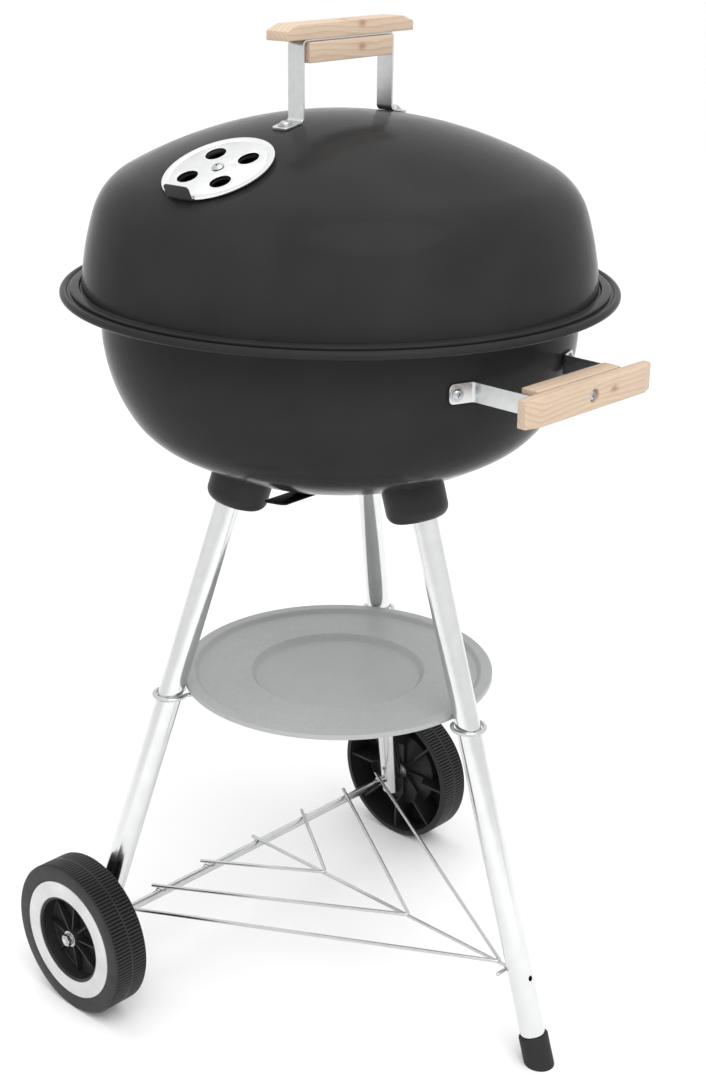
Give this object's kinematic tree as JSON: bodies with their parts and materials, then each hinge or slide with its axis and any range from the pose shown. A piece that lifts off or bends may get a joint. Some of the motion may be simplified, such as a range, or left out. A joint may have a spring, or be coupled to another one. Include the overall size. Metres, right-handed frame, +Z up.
{
  "type": "kettle charcoal grill",
  "caption": "Kettle charcoal grill: enamelled bowl and lift-off domed lid on splayed tube legs, with rear wheels, a wire shelf, an ash tray and wooden handles.",
  "frame": {"origin": "on the ground under the middle of the whole grill", "axes": "+Z up, -Y towards the front leg and the bowl handle, X along the wheel axle"},
  "size_m": [0.484, 0.5026, 0.875],
  "materials": {
    "black_enamel": "glossy vitreous enamel",
    "strap_steel": "bright plated",
    "pine_wood": "bare planed, fine grain",
    "zinc_fixings": "zinc plated",
    "leg_chrome": "polished",
    "foot_rubber": "matte",
    "tray_enamel": "satin, fine speckle",
    "bright_wire": "bright plated",
    "grate_steel": "bare wire",
    "wheel_plastic": "moulded, fine grain",
    "trim_plastic": "satin",
    "vent_steel": "bright, fine brushed"
  },
  "bodies": {
    "stand_and_bowl": {"bowl_shell": "black_enamel", "bowl_handle_strap": "strap_steel", "bowl_handle_board": "pine_wood", "bowl_handle_block": "pine_wood", "bowl_handle_bolt": "zinc_fixings", "bowl_handle_nut": "zinc_fixings", "bowl_strap_screws": "zinc_fixings", "bowl_strap_washers": "zinc_fixings", "bowl_strap_nuts": "zinc_fixings", "grate_rests": "zinc_fixings", "front_leg_socket": "black_enamel", "left_leg_socket": "black_enamel", "right_leg_socket": "black_enamel", "leg_bolts": "zinc_fixings", "leg_bolt_washers": "zinc_fixings", "leg_inserts": "zinc_fixings", "front_leg": "leg_chrome", "left_leg": "leg_chrome", "right_leg": "leg_chrome", "front_foot_cap": "foot_rubber", "ash_tray": "tray_enamel", "tray_hooks": "bright_wire", "wire_shelf": "bright_wire", "axle_rod": "bright_wire", "axle_inner_washers": "zinc_fixings", "axle_outer_washers": "zinc_fixings", "axle_nuts": "zinc_fixings", "ash_damper_bolt": "zinc_fixings", "ash_damper_washer": "zinc_fixings", "ash_damper_nut": "zinc_fixings"},
    "lid": {"lid_shell": "black_enamel", "lid_handle_strap": "strap_steel", "lid_handle_board": "pine_wood", "lid_handle_block": "pine_wood", "lid_handle_bolt": "zinc_fixings", "lid_handle_nut": "zinc_fixings", "lid_strap_screws": "zinc_fixings", "lid_strap_washers": "zinc_fixings", "lid_strap_nuts": "zinc_fixings", "lid_vent_screw": "zinc_fixings", "lid_vent_spring": "zinc_fixings", "lid_vent_nut": "zinc_fixings"},
    "lid_vent": {"lid_vent_disc": "vent_steel"},
    "left_wheel_body": {"left_wheel": "wheel_plastic", "left_wheel_trim": "trim_plastic"},
    "right_wheel_body": {"right_wheel": "wheel_plastic", "right_wheel_trim": "trim_plastic"},
    "ash_damper_body": {"ash_damper": "black_enamel"},
    "charcoal_grate_body": {"charcoal_grate": "grate_steel"},
    "cooking_grate_body": {"cooking_grate": "bright_wire"}
  },
  "joints": [
    {"name": "lid_lift", "type": "slide", "parent": "stand_and_bowl", "child": "lid", "axis": [0, 0, 1], "range_m": [0, 0.35]},
    {"name": "lid_vent_turn", "type": "hinge", "parent": "lid", "child": "lid_vent", "pos_m": [-0.14564, 0.00617, 0.7728], "axis": [-0.3958, -0.0277, 0.9179], "range_deg": [0, 45]},
    {"name": "ash_damper_turn", "type": "hinge", "parent": "stand_and_bowl", "child": "ash_damper_body", "pos_m": [0, 0.01635, 0.488], "axis": [0, 0, 1], "range_deg": [0, 38]},
    {"name": "left_wheel_spin", "type": "hinge", "parent": "stand_and_bowl", "child": "left_wheel_body", "pos_m": [-0.222, 0.12695, 0.072], "axis": [1, 0, 0], "continuous": true},
    {"name": "right_wheel_spin", "type": "hinge", "parent": "stand_and_bowl", "child": "right_wheel_body", "pos_m": [0.222, 0.12695, 0.072], "axis": [1, 0, 0], "continuous": true},
    {"name": "cooking_grate_lift", "type": "slide", "parent": "stand_and_bowl", "child": "cooking_grate_body", "axis": [0, 0, 1], "range_m": [0, 0.06]},
    {"name": "charcoal_grate_lift", "type": "slide", "parent": "stand_and_bowl", "child": "charcoal_grate_body", "axis": [0, 0, 1], "range_m": [0, 0.05]}
  ]
}
